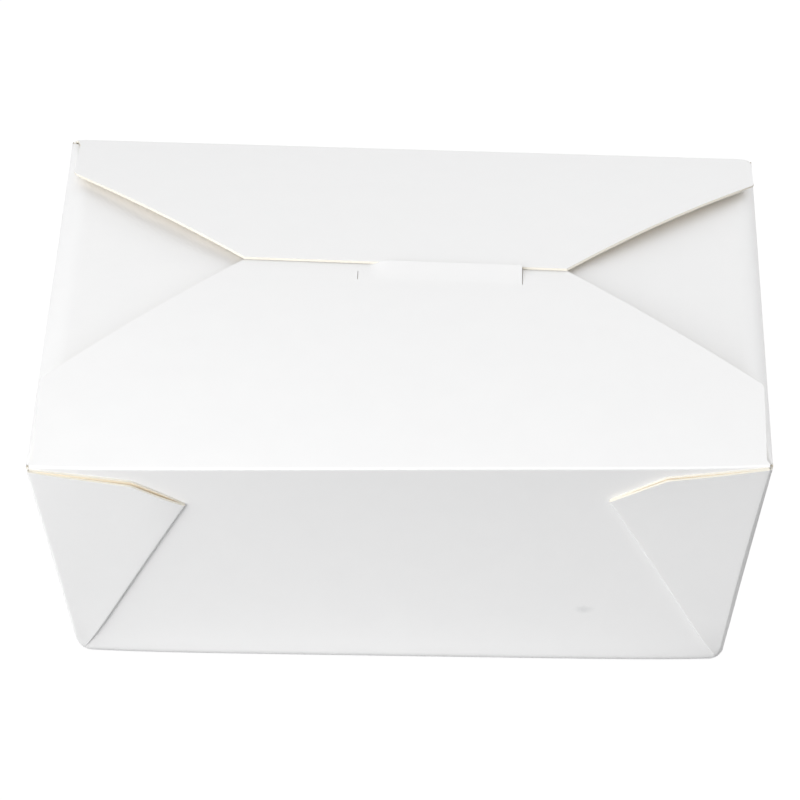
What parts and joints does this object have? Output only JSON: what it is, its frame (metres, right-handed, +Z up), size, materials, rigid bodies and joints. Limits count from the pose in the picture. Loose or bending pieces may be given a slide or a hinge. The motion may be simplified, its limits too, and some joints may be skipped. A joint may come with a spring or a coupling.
{
  "type": "paperboard takeout box",
  "caption": "Closed takeout box folded from one sheet of white paperboard, with sloping walls, doubled corner webs on the long walls and a domed fold-in lid whose front flap opens.",
  "frame": {"origin": "centre of the base's underside, on the surface that the box stands on", "axes": "+X along the length, +Y from the front to the back, +Z up"},
  "size_m": [0.171, 0.139, 0.0737],
  "materials": {
    "paperboard": "white clay-coated board with a soft satin face and cream cut edges"
  },
  "bodies": {
    "carton": {"carton": "paperboard"},
    "front_flap": {"front_flap": "paperboard"}
  },
  "joints": [
    {"name": "front_flap_crease", "type": "hinge", "parent": "carton", "child": "front_flap", "pos_m": [0, -0.06778, 0.06284], "axis": [1, 0, 0], "range_deg": [0, 180]}
  ]
}
